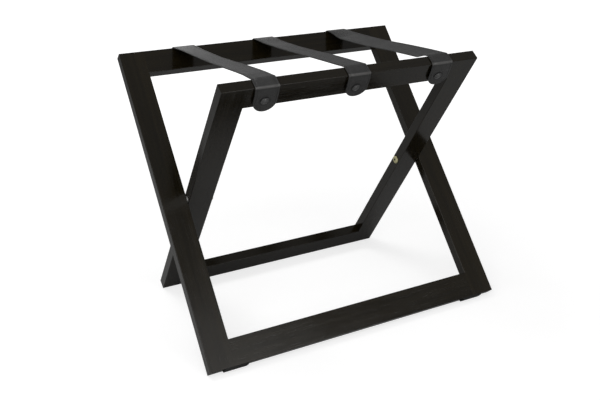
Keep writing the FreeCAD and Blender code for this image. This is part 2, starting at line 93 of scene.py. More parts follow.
def smooth(piece, angle):
    makeActive(piece)
    bpy.ops.object.shade_smooth_by_angle(angle=radians(angle))


def roundEdges(piece, width, angle):
    # a narrow bevel on every edge that is sharper than the angle
    edge = piece.modifiers.new("edge", "BEVEL")
    edge.width = width
    edge.segments = 2
    edge.limit_method = "ANGLE"
    edge.angle_limit = radians(angle)
    applyAll(piece)


def outwardNormals(piece):
    makeActive(piece)
    bpy.ops.object.mode_set(mode="EDIT")
    bpy.ops.mesh.select_all(action="SELECT")
    bpy.ops.mesh.remove_doubles(threshold=0.00001)
    bpy.ops.mesh.normals_make_consistent(inside=False)
    bpy.ops.object.mode_set(mode="OBJECT")


def joinInto(piece, others):
    makeActive(piece)
    for other in others:
        other.select_set(True)
    bpy.ops.object.join()


def selectVerts(piece, test):
    # edit mode is left and entered again round the selection, as the data needs
    bpy.ops.object.mode_set(mode="OBJECT")
    mesh = piece.data
    for v in mesh.vertices:
        v.select = test(v.co)
    for parts in (mesh.edges, mesh.polygons):
        for part in parts:
            part.select = all(mesh.vertices[i].select for i in part.vertices)
    bpy.ops.object.mode_set(mode="EDIT")


def selectFaces(piece, test):
    bpy.ops.object.mode_set(mode="OBJECT")
    mesh = piece.data
    for parts in (mesh.vertices, mesh.edges):
        for part in parts:
            part.select = False
    for f in mesh.polygons:
        f.select = test(f.center, f.normal)
    bpy.ops.object.mode_set(mode="EDIT")
    bpy.ops.mesh.select_mode(type="FACE")


def newNode(tree, kind, where=(0, 0), **values):
    # each value is a setting of the node or one of its inputs
    node = tree.nodes.new(kind)
    node.location = where
    for name, value in values.items():
        if name in node.bl_rna.properties.keys():
            setattr(node, name, value)
        else:
            node.inputs[name].default_value = value
    return node


def placedNode(tree, kind, place, where=(0, 0), **values):
    # a texture, mapping or group that reads a place
    node = newNode(tree, kind, where, **values)
    tree.links.new(place, node.inputs["Vector"])
    return node


def objectPlace(tree, where):
    return newNode(tree, "ShaderNodeTexCoord", where).outputs["Object"]


def newGroup(name, inputs, outputs):
    group = bpy.data.node_groups.new(name, "ShaderNodeTree")
    for label, kind, value in inputs:
        socket = group.interface.new_socket(name=label, in_out="INPUT", socket_type=kind)
        if value is not None:
            socket.default_value = value
    for label, kind in outputs:
        group.interface.new_socket(name=label, in_out="OUTPUT", socket_type=kind)
    start = newNode(group, "NodeGroupInput", (-900, 0))
    end = newNode(group, "NodeGroupOutput", (900, 0))
    return group, start, end


def maths(tree, operation, a, b=None, where=(0, 0), clamp=False):
    node = newNode(tree, "ShaderNodeMath", where, operation=operation, use_clamp=clamp)
    for index, value in enumerate((a, b)):
        if value is None:
            continue
        if isinstance(value, (int, float)):
            node.inputs[index].default_value = value
        else:
            tree.links.new(value, node.inputs[index])
    return node.outputs[0]


def remap(tree, value, low, high, toLow, toHigh, where=(0, 0)):
    node = newNode(tree, "ShaderNodeMapRange", where, clamp=True)
    tree.links.new(value, node.inputs["Value"])
    names = ("From Min", "From Max", "To Min", "To Max")
    for name, number in zip(names, (low, high, toLow, toHigh)):
        node.inputs[name].default_value = number
    return node.outputs["Result"]


def mixColour(tree, factor, a, b, where=(0, 0)):
    node = newNode(tree, "ShaderNodeMix", where, data_type="RGBA", clamp_factor=True)
    for socket, value in ((node.inputs[0], factor), (node.inputs[6], a), (node.inputs[7], b)):
        if isinstance(value, tuple):
            socket.default_value = (*value, 1)
        else:
            tree.links.new(value, socket)
    return node.outputs[2]


def newMaterial(name, **constants):
    material = bpy.data.materials.new(name)
    material.use_nodes = True
    tree = material.node_tree
    shader = tree.nodes["Principled BSDF"]
    for socket, value in constants.items():
        label = socket.replace("_", " ")
        shader.inputs[label].default_value = (*value, 1) if isinstance(value, tuple) else value
    material.diffuse_color = (*constants["Base_Color"], 1)
    return material, tree, shader


def bumpFrom(tree, height, strength, distance, where, normal=None):
    bump = newNode(tree, "ShaderNodeBump", where, Strength=strength, Distance=distance)
    tree.links.new(height, bump.inputs["Height"])
    if normal is not None:
        tree.links.new(normal, bump.inputs["Normal"])
    return bump.outputs["Normal"]


def finishNode(name, material):
    nodes[name].data.materials.clear()
    nodes[name].data.materials.append(material)


# stained wood of the two frames
stain = {
    "dark": (0.0048, 0.0034, 0.0010),
    "light": (0.0125, 0.0090, 0.0030),
    "poreFill": (0.0016, 0.0012, 0.0008),
    "dust": (0.06, 0.055, 0.05),
    "poreDepth": 0.00009,
    "grainPitch": 0.0035,  # across the grain
    "grainStretch": 26,  # along the grain
    # each pair: the levels of noise between which a mark comes or goes
    "streaks": (0.35, 0.68),
    "pores": (0.30, 0.47),
    "clouds": (0.35, 0.65),
    "markSize": 11,
    "dustShare": 0.25,
    "roughLow": 0.09,
    "smudgeRough": 0.07,
    "relief": 0.22,
    "specular": 0.48,
}


def grainGroup():
    # pores and figure that run along Z of the vector it is given
    t, start, end = newGroup(
        "woodGrain",
        [("Vector", "NodeSocketVector", None),
         ("Pitch", "NodeSocketFloat", 0.003),
         ("Stretch", "NodeSocketFloat", 20.0),
         ("Dark", "NodeSocketColor", (0.01, 0.01, 0.01, 1)),
         ("Light", "NodeSocketColor", (0.02, 0.02, 0.02, 1))],
        [("Color", "NodeSocketColor"),
         ("Roughness", "NodeSocketFloat"),
         ("Height", "NodeSocketFloat")],
    )
    pitch = start.outputs["Pitch"]
    split = placedNode(t, "ShaderNodeSeparateXYZ", start.outputs["Vector"], (-700, 0))
    across = maths(t, "DIVIDE", split.outputs["X"], pitch, (-540, 160))
    through = maths(t, "DIVIDE", split.outputs["Y"], pitch, (-540, 0))
    longPitch = maths(t, "MULTIPLY", pitch, start.outputs["Stretch"], (-700, -200))
    along = maths(t, "DIVIDE", split.outputs["Z"], longPitch, (-540, -160))
    joined = newNode(t, "ShaderNodeCombineXYZ", (-380, 0))
    for index, value in enumerate((across, through, along)):
        t.links.new(value, joined.inputs[index])
    drawn = joined.outputs[0]
    figure = placedNode(t, "ShaderNodeTexNoise", drawn, (-200, 200),
                        Scale=0.35, Detail=4.0, Roughness=0.6, Distortion=0.6)
    pores = placedNode(t, "ShaderNodeTexNoise", drawn, (-200, -60),
                       Scale=2.6, Detail=3.0, Roughness=0.7)
    cloud = placedNode(t, "ShaderNodeTexNoise", drawn, (-200, -320), Scale=0.05, Detail=2.0)
    streak = remap(t, figure.outputs["Fac"], *stain["streaks"], 0, 1, (20, 200))
    pore = remap(t, pores.outputs["Fac"], *stain["pores"], 1, 0, (20, -60))
    patch = remap(t, cloud.outputs["Fac"], *stain["clouds"], 0, 0.5, (20, -320))
    streaked = maths(t, "MULTIPLY", streak, 0.6, (200, 200))
    tone = maths(t, "ADD", streaked, patch, (360, 120), clamp=True)
    colour = mixColour(t, tone, start.outputs["Dark"], start.outputs["Light"], (520, 160))
    fill = maths(t, "MULTIPLY", pore, 0.55, (360, -40))
    filled = mixColour(t, fill, colour, stain["poreFill"], (700, 120))
    rough = maths(t, "ADD", maths(t, "MULTIPLY", tone, 0.10, (360, -200)),
                  maths(t, "MULTIPLY", pore, 0.12, (360, -300)), (520, -240))
    ridge = maths(t, "MULTIPLY", streak, 0.25, (520, -420))
    height = maths(t, "SUBTRACT", ridge, pore, (700, -420))
    for name, value in (("Color", filled), ("Roughness", rough), ("Height", height)):
        t.links.new(value, end.inputs[name])
    return t


def wearGroup():
    # slow smudges and fine dust, as masks from 0 to 1
    t, start, end = newGroup(
        "handlingMarks",
        [("Vector", "NodeSocketVector", None), ("Size", "NodeSocketFloat", 18.0)],
        [("Smudge", "NodeSocketFloat"), ("Speck", "NodeSocketFloat")],
    )
    place = start.outputs["Vector"]
    smudge = placedNode(t, "ShaderNodeTexNoise", place, (-400, 160), Detail=5.0, Roughness=0.62)
    speck = placedNode(t, "ShaderNodeTexNoise", place, (-400, -160), Detail=2.0, Scale=900.0)
    t.links.new(start.outputs["Size"], smudge.inputs["Scale"])
    for name, noise, low, high in (("Smudge", smudge, 0.38, 0.66), ("Speck", speck, 0.62, 0.72)):
        t.links.new(remap(t, noise.outputs["Fac"], low, high, 0, 1, (0, 0)), end.inputs[name])
    return t


woodGrain = grainGroup()
handlingMarks = wearGroup()


def barMaterial(name, frameLean, alongRail, shift, tone):
    material, tree, shader = newMaterial(
        name, Base_Color=stain["dark"], IOR=1.48, Specular_IOR_Level=stain["specular"]
    )
    upright = placedNode(
        tree, "ShaderNodeMapping", objectPlace(tree, (-1300, 0)), (-1100, 0), vector_type="TEXTURE",
        Location=(0, 0, bench["pivotHeight"]), Rotation=(frameLean, 0, 0)
    )
    turned = placedNode(
        tree, "ShaderNodeMapping", upright.outputs[0], (-900, 0), vector_type="POINT",
        Location=shift, Rotation=(0, radians(-90) if alongRail else 0, 0)
    ).outputs[0]
    dark, light = ((*[value * tone for value in stain[key]], 1) for key in ("dark", "light"))
    grain = placedNode(
        tree, "ShaderNodeGroup", turned, (-650, 100), node_tree=woodGrain,
        Pitch=stain["grainPitch"], Stretch=stain["grainStretch"], Dark=dark, Light=light
    )
    marks = placedNode(tree, "ShaderNodeGroup", turned, (-650, -250),
                       node_tree=handlingMarks, Size=stain["markSize"])
    dusty = maths(tree, "MULTIPLY", marks.outputs["Speck"], stain["dustShare"], (-300, -120))
    colour = mixColour(tree, dusty, grain.outputs["Color"], stain["dust"], (-150, 120))
    base = maths(tree, "ADD", grain.outputs["Roughness"], stain["roughLow"], (-400, -60))
    smudged = maths(tree, "MULTIPLY", marks.outputs["Smudge"], stain["smudgeRough"], (-400, -300))
    rough = maths(tree, "ADD", base, smudged, (-200, -100))
    bump = bumpFrom(tree, grain.outputs["Height"], stain["relief"], stain["poreDepth"],
                    (-150, -300))
    for label, value in (("Base Color", colour), ("Roughness", rough), ("Normal", bump)):
        tree.links.new(value, shader.inputs[label])
    return material


bars = {
    # node: way its frame leans, whether it is a rail,
    # where its grain starts, and how light its stain is
    "outer_leg_left": (-1, False, (0.31, 0.17, 0.9), 1.0),
    "outer_leg_right": (-1, False, (1.73, 0.62, 2.1), 1.15),
    "outer_top_rail": (-1, True, (2.9, 1.1, 0.4), 0.95),
    "outer_bottom_rail": (-1, True, (4.4, 2.3, 1.7), 1.0),
    "inner_leg_left": (1, False, (5.8, 3.7, 0.2), 0.75),
    "inner_leg_right": (1, False, (7.2, 4.4, 2.8), 0.8),
    "inner_top_rail": (1, True, (8.9, 5.3, 1.3), 0.8),
    "inner_bottom_rail": (1, True, (9.6, 6.8, 3.6), 0.65),
}
for name, (side, alongRail, shift, tone) in bars.items():
    finishNode(name, barMaterial(name + "_stain", side * bench["lean"], alongRail, shift, tone))
print("bars stained")

leather = {
    "dark": (0.0205, 0.0203, 0.0200),
    "light": (0.0390, 0.0386, 0.0382),
    "foldHighlight": (0.085, 0.083, 0.081),  # painted highlight where it is bent over a rail
    "crease": (0.007, 0.007, 0.007),  # painted shade between the pebbles
    "paintedShade": (0.006, 0.006, 0.006),  # painted shade round a snap and under the rear fold
    "pebble": 0.0011,  # size of one pebble of the grain
    "pebbleDepth": 0.00018,
    "ripple": 150,
    "rippleDepth": 0.0007,
    "dimpleDepth": 0.0008,
    # each pair: how far off a mark is full, and where it has faded
    "dimple": (0.0082, 0.0122),  # from a snap's middle
    "fold": (0.00005, 0.00030),  # painted highlight line, from the outside of a fold
    "tuck": (0.0012, 0.0030),  # shade below the rear fold
    "tuckTop": 0.0002,  # above the middle of the fold
    "slide": (0.03, 0.19),  # along Y, where the polish begins and where it is full
    "rough": 0.40,
    "polish": 0.16,
}


def pebbleGroup():
    t, start, end = newGroup(
        "leatherPebble",
        [("Vector", "NodeSocketVector", None), ("Pebble", "NodeSocketFloat", 0.001)],
        [("Height", "NodeSocketFloat"), ("Crease", "NodeSocketFloat"), ("Tone", "NodeSocketFloat")],
    )
    place = start.outputs["Vector"]
    scale = maths(t, "DIVIDE", 1.0, start.outputs["Pebble"], (-700, -100))
    bend = placedNode(t, "ShaderNodeTexNoise", place, (-700, 200), Scale=220.0, Detail=2.0)
    push = newNode(t, "ShaderNodeVectorMath", (-500, 200), operation="SCALE", Scale=0.0012)
    t.links.new(bend.outputs["Color"], push.inputs[0])
    moved = newNode(t, "ShaderNodeVectorMath", (-340, 100), operation="ADD")
    t.links.new(place, moved.inputs[0])
    t.links.new(push.outputs[0], moved.inputs[1])
    cells = placedNode(t, "ShaderNodeTexVoronoi", moved.outputs[0], (-160, 160),
                       feature="SMOOTH_F1", Smoothness=0.55)
    gaps = placedNode(t, "ShaderNodeTexVoronoi", moved.outputs[0], (-160, -160),
                      feature="DISTANCE_TO_EDGE")
    for node in (cells, gaps):
        t.links.new(scale, node.inputs["Scale"])
    slow = placedNode(t, "ShaderNodeTexNoise", place, (-160, -460),
                      Scale=38.0, Detail=4.0, Roughness=0.6)
    dome = remap(t, cells.outputs["Distance"], 0.05, 0.75, 1, 0, (60, 160))
    crease = remap(t, gaps.outputs["Distance"], 0.0, 0.14, 1, 0, (60, -160))
    tone = remap(t, slow.outputs["Fac"], 0.3, 0.7, 0, 1, (60, -460))
    cut = maths(t, "MULTIPLY", crease, 0.45, (240, -100))
    height = maths(t, "SUBTRACT", dome, cut, (420, 60))
    for name, value in (("Height", height), ("Crease", crease), ("Tone", tone)):
        t.links.new(value, end.inputs[name])
    return t


leatherPebble = pebbleGroup()


def threadMaterial():
    material, tree, shader = newMaterial(
        "strapThread", Base_Color=(0.02, 0.02, 0.021), Specular_IOR_Level=0.3
    )
    twist = placedNode(
        tree, "ShaderNodeTexWave", objectPlace(tree, (-900, 0)), (-700, 0),
        wave_type="BANDS", bands_direction="DIAGONAL", Scale=900.0, Distortion=1.5
    ).outputs["Fac"]
    # the grooves of the twist are painted darker: painted shade between the plies
    colour = mixColour(tree, twist, (0.012, 0.012, 0.012), (0.040, 0.039, 0.038), (-400, 80))
    rough = remap(tree, twist, 0, 1, 0.5, 0.75, (-400, -100))
    bump = bumpFrom(tree, twist, 0.4, 0.0001, (-300, -300))
    for label, value in (("Base Color", colour), ("Roughness", rough), ("Normal", bump)):
        tree.links.new(value, shader.inputs[label])
    return material


strapThread = threadMaterial()


metalSkin = {
    "markSize": 160,
    "grainRough": 0.22,  # what the fine noise adds to the roughness
    "smudgeRough": 0.10,
    "relief": 0.15,
}
coatSkin = {
    "markSize": 60,
    "grainRough": 0.16,
    "smudgeRough": 0,
    "relief": 0.3,
}


def fittingMaterial(name, dark, light, rough, noiseScale, depth, facts, **constants):
    # smudged from one colour to the other, with fine noise in its gloss and surface
    material, tree, shader = newMaterial(name, Base_Color=dark, **constants)
    place = objectPlace(tree, (-900, 0))
    marks = placedNode(tree, "ShaderNodeGroup", place, (-700, 0),
                       node_tree=handlingMarks, Size=facts["markSize"])
    smudge = marks.outputs["Smudge"]
    grain = placedNode(tree, "ShaderNodeTexNoise", place, (-700, -260),
                       Scale=noiseScale, Detail=3.0).outputs["Fac"]
    colour = mixColour(tree, smudge, dark, light, (-400, 80))
    level = maths(tree, "MULTIPLY", grain, facts["grainRough"], (-500, -200))
    if facts["smudgeRough"]:
        smudged = maths(tree, "MULTIPLY", smudge, facts["smudgeRough"], (-500, -60))
        level = maths(tree, "ADD", level, smudged, (-330, -120))
    level = maths(tree, "ADD", level, rough, (-160, -120))
    bump = bumpFrom(tree, grain, facts["relief"], depth, (-200, -320))
    for label, value in (("Base Color", colour), ("Roughness", level), ("Normal", bump)):
        tree.links.new(value, shader.inputs[label])
    return material


metals = {
    # name: colour, colour where worn, roughness, scale and depth of its fine lines,
    # share of bare metal
    "brassPlate": ((0.84, 0.80, 0.48), (0.62, 0.57, 0.32), 0.24, 700, 0.00005, 0.65),
    "zincPlate": ((0.66, 0.66, 0.64), (0.48, 0.48, 0.47), 0.24, 900, 0.00005, 1.0),
    "nickelPlate": ((0.60, 0.58, 0.54), (0.42, 0.41, 0.39), 0.18, 1100, 0.00005, 1.0),
}
coats = {
    # name: dark, light, roughness, size and depth of its grain, specular level
    "blackEnamel": ((0.060, 0.060, 0.060), (0.082, 0.082, 0.082), 0.24, 0.0009, 0.00003, 0.5),
    # the inside of the bolt's socket: painted shade
    "paintedSocketShade": ((0.020, 0.018, 0.009), (0.032, 0.028, 0.014), 0.55, 0.0006, 0.00002, 0.3),
    "glideRubber": ((0.010, 0.010, 0.010), (0.022, 0.022, 0.022), 0.62, 0.0007, 0.00012, 0.3),
    "bareBeech": ((0.44, 0.29, 0.16), (0.56, 0.40, 0.24), 0.55, 0.0012, 0.00006, 0.3),
}
finishes = {}
for name, (colour, worn, rough, lines, depth, bare) in metals.items():
    finishes[name] = fittingMaterial(name, colour, worn, rough, lines, depth, metalSkin,
                                     Metallic=bare)
for name, (dark, light, rough, grainSize, depth, specular) in coats.items():
    finishes[name] = fittingMaterial(name, dark, light, rough, 1 / grainSize, depth, coatSkin,
                                     Specular_IOR_Level=specular)

fittings = {
    # finish: nodes that have it
    "bareBeech": ("outer_tenons", "inner_tenons"),
    "brassPlate": ("threaded_insert_left", "threaded_insert_right"),
    "zincPlate": ("spacer_washer_left", "spacer_washer_right"),
    "nickelPlate": ("front_snap_studs", "rear_snap_studs",
                    "front_snap_sockets", "rear_snap_sockets"),
    "glideRubber": ("front_foot_left", "front_foot_right", "rear_foot_left", "rear_foot_right"),
}
for finish, names in fittings.items():
    for name in names:
        finishNode(name, finishes[finish])
print("fittings finished")

# straps: cut flat, seamed, then laid over the rails
strapCut = {
    "width": 0.044,
    "thickness": 0.002,
    "clearance": 0.0003,
    "flare": radians(15),  # how far a tongue leaves the face of its rail
    "standoff": 0.0033,  # rail face to the back of a tongue
    "frontTongue": 0.054,
    "rearTongue": 0.042,
    "frontSnap": 0.029,
    "rearSnap": 0.022,
    "crestRadius": 0.004,
    "foldRadius": 0.0007,
    "kneeRadius": 0.016,
    "endRound": 0.0217,  # each corner of a tongue's end
    "endSteps": 18,
    "jointBeforeCrest": 0.004,  # where the span meets a tongue piece
    "rowPitch": 0.0045,
    "rowGap": 0.0007,  # least distance of an even row from one in a fold
    "foldStep": radians(14),
    "foldFrom": radians(45),  # a sharper turn than this is a fold
    "lanes": (-0.25, 0, 0.25),  # lengthwise rows, in shares of the width
    "offcut": 0.02,  # spare length that is trimmed off again
    "edgeRound": 0.00045,
}
seam = {
    "inset": 0.0035,  # edge of the strap to the seam
    "halfGroove": 0.0005,
    "depth": 0.0003,
    "stitch": 0.0030,
    "pitch": 0.0041,
    "thread": 0.0006,
    "sink": 0.0001,  # middle of a stitch below the strap's face
    "endGap": 0.0005,  # end of a span to its first stitch
}
spanCurve = {
    "frontEase": 0.18,  # share of a half span over which it comes level with its rail
    "rearEase": 0.32,
    "sagShare": 0.85,  # share of a half span that sags
    "handOver": 0.16,  # length over which the front half's hang gives way to the rear half's
}
straps = {
    # strap: middle along X, rise before the rail, sag in the middle,
    # how far its left and right edges hang in its front half and in its rear half,
    # and how its front tip has strayed: sideways, off the rail, and cut short
    "strapLeft": {
        "node": "strap_left", "middle": -bench["strapPitch"], "rise": 0.0008, "sag": 0.0012,
        "hang": ((-0.0008, 0.0), (-0.0002, 0.0030)), "tip": (0.0028, 0.0022, 0.0),
    },
    "strapMiddle": {
        "node": "strap_middle", "middle": 0.0, "rise": -0.0004, "sag": 0.0016,
        "hang": ((0.0, 0.0), (0.0022, 0.0028)), "tip": (0.0045, 0.0006, 0.0022),
    },
    "strapRight": {
        "node": "strap_right", "middle": bench["strapPitch"], "rise": 0.0002, "sag": 0.0014,
        "hang": ((0.0070, 0.0), (0.0098, 0.0022)), "tip": (0.0045, 0.0010, 0.0015),
    },
}


def strapCorners(front):
    # underside of the strap from the middle of the span to the tip, in Y and Z
    cut = strapCut
    flareSin, flareCos = sin(cut["flare"]), cos(cut["flare"])
    flatLeg = bench["halfLeg"] - bench["edgeRound"]
    flatBar = bench["halfBar"] - bench["edgeRound"]
    hug = bench["edgeRound"] + cut["clearance"]
    lift = bench["halfLeg"] + cut["clearance"]
    back = bench["halfBar"] + cut["standoff"]
    level = bench["pivotHeight"] + flatLeg * leanCos + flatBar * leanSin + hug
    crestOut = (lift * leanCos + bench["pivotHeight"] - level) / leanSin
    foldOut = flatBar + hug * (1 - flareSin) / flareCos
    kneeAlong = flatLeg + (hug - (cut["standoff"] + bench["edgeRound"]) * flareCos) / flareSin
    tipAlong = bench["halfLeg"] - (cut["frontTongue"] if front else cut["rearTongue"])
    corners = [(0.0, level), railPoint(lift, crestOut, front), railPoint(lift, foldOut, front),
               railPoint(kneeAlong, back, front), railPoint(tipAlong, back, front)]
    return corners, [0, cut["crestRadius"], cut["foldRadius"], cut["kneeRadius"], 0]


def bentRuns(corners, radii):
    # straights and arcs of a line with rounded corners: start, heading, length, turn
    runs = []
    here = corners[0]
    for i in range(1, len(corners)):
        before, corner = corners[i - 1], corners[i]
        heading = atan2(corner[1] - before[1], corner[0] - before[0])
        length = hypot(corner[0] - here[0], corner[1] - here[1])
        if i == len(corners) - 1:
            runs.append((here, heading, length, 0.0))
            break
        onward = atan2(corners[i + 1][1] - corner[1], corners[i + 1][0] - corner[0])
        turn = (onward - heading + pi) % (2 * pi) - pi
        cutBack = radii[i] * tan(abs(turn) / 2)
        runs.append((here, heading, length - cutBack, 0.0))
        start = (corner[0] - cutBack * cos(heading), corner[1] - cutBack * sin(heading))
        runs.append((start, heading, radii[i] * abs(turn), turn))
        here = (corner[0] + cutBack * cos(onward), corner[1] + cutBack * sin(onward))
    return runs


def alongRuns(runs, distance, height, upper):
    # Y and Z of a point on the bent strap; upper is the side that its top faces
    left = distance
    for start, heading, length, turn in runs:
        if left <= length or (start, heading, length, turn) == runs[-1]:
            break
        left -= length
    swing = turn * left / length if turn else 0.0
    if turn:
        radius = length / turn
        y = start[0] + radius * (sin(heading + swing) - sin(heading))
        z = start[1] - radius * (cos(heading + swing) - cos(heading))
    else:
        y = start[0] + left * cos(heading)
        z = start[1] + left * sin(heading)
    facing = heading + swing + upper * pi / 2
    return y + height * cos(facing), z + height * sin(facing)


strapRuns = {}
strapReach = {}
for place, front in (("front", True), ("rear", False)):
    corners, radii = strapCorners(front)
    strapRuns[place] = bentRuns(corners, radii)
    strapReach[place] = sum(run[2] for run in strapRuns[place])
jointReach = strapRuns["front"][0][2] - strapCut["jointBeforeCrest"]
foldedReach = sum(run[2] for run in strapRuns["front"][:4])
undersideHeight = strapRuns["front"][0][0][1]


def bendRows(place):
    # rows across the fold of one end, so that it is round
    rows = []
    passed = 0.0
    for start, heading, length, turn in strapRuns[place]:
        if abs(turn) > strapCut["foldFrom"]:
            steps = round(abs(turn) / strapCut["foldStep"])
            rows += [passed + length * i / steps for i in range(steps + 1)]
        passed += length
    return rows


def strapMarks(tree, place):
    # masks: a painted highlight where the leather is bent over a rail's edge, painted shade below
    # the rear fold, and painted shade with a dent where a snap presses it in
    cut = strapCut
    split = placedNode(tree, "ShaderNodeSeparateXYZ", place, (-1500, -700)).outputs
    lane = newNode(tree, "ShaderNodeMath", (-1320, -600), operation="WRAP")
    tree.links.new(split["X"], lane.inputs[0])
    lane.inputs[1].default_value = bench["strapPitch"] / 2
    lane.inputs[2].default_value = -bench["strapPitch"] / 2
    out = maths(tree, "ABSOLUTE", split["Y"], None, (-1320, -760))

    def distanceTo(parts, point, where):
        joined = newNode(tree, "ShaderNodeCombineXYZ", (where[0] - 180, where[1]))
        for axis, value in parts.items():
            tree.links.new(value, joined.inputs[axis])
        node = newNode(tree, "ShaderNodeVectorMath", where, operation="DISTANCE")
        tree.links.new(joined.outputs[0], node.inputs[0])
        node.inputs[1].default_value = point
        return node.outputs["Value"]

    start, heading, length, turn = strapRuns["rear"][3]
    bendOut = start[0] + length / turn * -sin(heading)
    bendUp = start[1] + length / turn * cos(heading)
    fold = distanceTo({"Y": out, "Z": split["Z"]}, (0, bendOut, bendUp), (-960, -860))
    outside = cut["foldRadius"] + cut["thickness"]
    highlightBand = [outside + off for off in leather["fold"]]
    tuckBand = [outside + off for off in leather["tuck"]]
    # painted highlight along the outside of each fold
    crease = remap(tree, fold, *highlightBand, 1, 0, (-780, -860))
    under = maths(tree, "LESS_THAN", split["Z"], bendUp + leather["tuckTop"], (-780, -1040))
    nearFold = remap(tree, fold, *tuckBand, 1, 0, (-780, -1200))
    tuck = maths(tree, "MULTIPLY", nearFold, under, (-600, -1100))
    snaps = []
    spot = {"X": lane.outputs[0], "Y": split["Y"], "Z": split["Z"]}
    for front, drop in ((True, cut["frontSnap"]), (False, cut["rearSnap"])):
        lift = bench["halfBar"] + cut["standoff"] + cut["thickness"]
        at = railPoint(bench["halfLeg"] - drop, lift, front)
        snaps.append(distanceTo(spot, (0, *at), (-960, -500 if front else -640)))
    snap = maths(tree, "MINIMUM", snaps[0], snaps[1], (-780, -560))
    return crease, tuck, remap(tree, snap, *leather["dimple"], 1, 0, (-600, -560))


def strapMaterial():
    material, tree, shader = newMaterial(
        "strapLeather", Base_Color=leather["dark"], IOR=1.5, Specular_IOR_Level=0.5
    )

    def times(value, factor, where):
        return maths(tree, "MULTIPLY", value, factor, where)

    place = objectPlace(tree, (-1700, 0))
    fold, tuck, dimple = strapMarks(tree, place)
    split = placedNode(tree, "ShaderNodeSeparateXYZ", place, (-500, -760)).outputs
    pebble = placedNode(tree, "ShaderNodeGroup", place, (-850, 0),
                        node_tree=leatherPebble, Pebble=leather["pebble"]).outputs
    smudge = placedNode(tree, "ShaderNodeGroup", place, (-850, -260),
                        node_tree=handlingMarks, Size=26).outputs["Smudge"]
    ripple = placedNode(tree, "ShaderNodeTexNoise", place, (-850, 260),
                        Scale=leather["ripple"], Detail=3.0, Roughness=0.6).outputs["Fac"]

    tone = maths(tree, "ADD", times(pebble["Tone"], 0.40, (-640, 80)),
                 times(smudge, 0.35, (-640, -160)), (-480, 0))
    rippled = remap(tree, ripple, 0.35, 0.65, 0, 0.3, (-640, 240))
    tone = maths(tree, "ADD", tone, rippled, (-400, 140), clamp=True)
    skin = mixColour(tree, tone, leather["dark"], leather["light"], (-300, 80))
    # painted shade darkens the creases between the pebbles
    lined = mixColour(tree, times(pebble["Crease"], 0.5, (-300, -80)), skin,
                      leather["crease"], (-120, 60))
    # painted shade round each snap and below the rear fold
    shaded = maths(tree, "MAXIMUM", times(dimple, 0.9, (-300, -420)),
                   times(tuck, 0.35, (-300, -520)), (-120, -460))
    paintedShade = mixColour(tree, shaded, lined, leather["paintedShade"], (60, 60))
    # mixes the painted highlight into the colour along each fold
    colour = mixColour(tree, times(fold, 0.85, (60, -120)), paintedShade, leather["foldHighlight"], (240, 60))

    rough = maths(tree, "ADD", times(pebble["Crease"], 0.15, (-300, -220)), leather["rough"],
                  (-120, -200))
    # polished towards the rear, where cases are slid on
    wavering = maths(tree, "ADD", split["Y"], times(smudge, 0.03, (-300, -720)), (-120, -720))
    slid = remap(tree, wavering, *leather["slide"], 0, leather["polish"], (60, -720))
    worn = maths(tree, "ADD", slid, times(fold, 0.10, (-120, -300)), (60, -420))
    gloss = maths(tree, "SUBTRACT", rough, worn, (240, -220))

    waves = bumpFrom(tree, ripple, 0.6, leather["rippleDepth"], (-500, -380))
    dimpled = bumpFrom(tree, times(dimple, -1, (-500, -560)), 0.8, leather["dimpleDepth"],
                       (-300, -640), waves)
    bump = bumpFrom(tree, pebble["Height"], 0.6, leather["pebbleDepth"], (-120, -380), dimpled)
    for label, value in (("Base Color", colour), ("Roughness", gloss), ("Normal", bump)):
        tree.links.new(value, shader.inputs[label])
    return material


strapLeather = strapMaterial()


def cutAcross(point, normal, **sides):
    bpy.ops.mesh.select_all(action="SELECT")
    bpy.ops.mesh.bisect(plane_co=point, plane_no=normal, **sides)


def flatStrip(name, middle, start, stop, rounded, bends=()):
    # top face with its sunk seam line, then the thickness below it, lying along Y
    cut = strapCut
    low = start - cut["offcut"]
    high = stop if rounded else stop + cut["offcut"]
    deselectAll()
    bpy.ops.mesh.primitive_plane_add(size=1, location=(middle, (low + high) / 2, cut["thickness"]))
    strip = bpy.context.object
    strip.name = name
    strip.scale = (cut["width"], high - low, 1)
    settle(strip)
    bpy.ops.object.mode_set(mode="EDIT")
    bpy.ops.mesh.select_mode(type="VERT")
    if rounded:
        selectVerts(strip, lambda co: co.y > high - pickSlack)
        bpy.ops.mesh.bevel(offset=cut["endRound"], segments=cut["endSteps"], affect="VERTICES")
    bpy.ops.mesh.select_mode(type="FACE")
    bpy.ops.mesh.select_all(action="SELECT")
    groove = seam["halfGroove"]
    for amount, depth in ((seam["inset"] - groove, 0), (groove, -seam["depth"]),
                          (groove, seam["depth"])):
        bpy.ops.mesh.inset(thickness=amount, depth=depth, use_even_offset=True, use_boundary=True)
    rows = int((stop - start) / cut["rowPitch"]) + 1
    even = [start + (stop - start) * i / rows for i in range(1, rows)]
    clear = [row for row in even if all(abs(row - bend) > cut["rowGap"] for bend in bends)]
    for reach in clear + list(bends):
        cutAcross((0, reach, 0), (0, 1, 0))
    for share in cut["lanes"]:
        cutAcross((middle + share * cut["width"], 0, 0), (1, 0, 0))
    cutAcross((0, start, 0), (0, 1, 0), clear_inner=True)
    if not rounded:
        cutAcross((0, stop, 0), (0, 1, 0), clear_outer=True)
    bpy.ops.mesh.select_all(action="SELECT")
    downwards = {"value": (0, 0, -cut["thickness"])}
    bpy.ops.mesh.extrude_region_move(TRANSFORM_OT_translate=downwards)
    bpy.ops.transform.resize(value=(1, 1, 0), center_override=(middle, 0, 0))
    bpy.ops.mesh.select_all(action="SELECT")
    bpy.ops.mesh.normals_make_consistent(inside=False)
    bpy.ops.object.mode_set(mode="OBJECT")
    roundEdges(strip, cut["edgeRound"], 60)
    strip.data.materials.append(strapLeather)
    return strip


